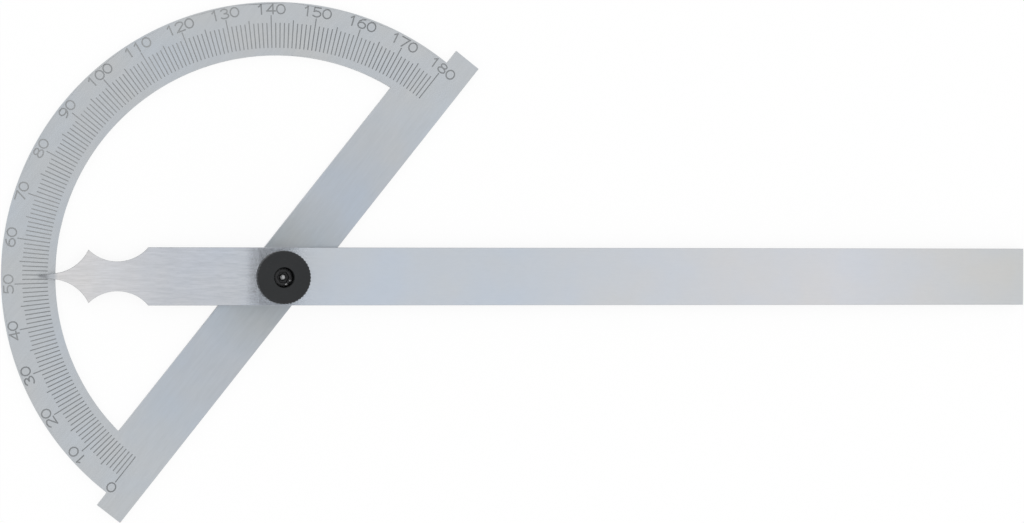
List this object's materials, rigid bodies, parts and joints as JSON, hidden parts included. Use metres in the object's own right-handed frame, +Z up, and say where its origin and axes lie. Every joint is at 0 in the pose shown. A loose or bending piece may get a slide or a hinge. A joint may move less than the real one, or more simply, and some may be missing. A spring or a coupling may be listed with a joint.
{
  "type": "angle protractor",
  "caption": "Flat steel angle protractor: a half-round degree plate on a straight base bar, with a pivoting ruler arm whose pointer reads the scale, held by a knurled clamp knob.",
  "frame": {"origin": "pivot axis, on the underside of the plate", "axes": "+X along the ruler arm to its square end, +Z up out of the graduated face"},
  "size_m": [0.271, 0.1345, 0.0188],
  "materials": {
    "plate_steel": "matt satin, engraved scale with grey filling",
    "arm_steel": "brushed along its length",
    "bush_steel": "turned, plain",
    "screw_steel": "black oxide",
    "knob_plastic": "moulded, matt, knurled rim"
  },
  "bodies": {
    "plate": {"degree_plate": "plate_steel", "pivot_bush": "bush_steel"},
    "arm": {"ruler_arm": "arm_steel"},
    "washer": {"pressure_washer": "bush_steel"},
    "knob": {"clamp_knob": "knob_plastic", "clamp_screw": "screw_steel"}
  },
  "joints": [
    {"name": "arm_swing", "type": "hinge", "parent": "plate", "child": "arm", "pos_m": [0, 0, 0.00225], "axis": [0, 0, 1], "continuous": true},
    {"name": "knob_lift", "type": "slide", "parent": "plate", "child": "washer", "axis": [0, 0, 1], "range_m": [0, 0.001]},
    {"name": "knob_turn", "type": "hinge", "parent": "washer", "child": "knob", "pos_m": [0, 0, 0.01], "axis": [0, 0, 1], "range_deg": [0, 720]}
  ],
  "couplings": [
    {"joint": "knob_turn", "follows": "knob_lift", "rad_per_m": 12566}
  ]
}
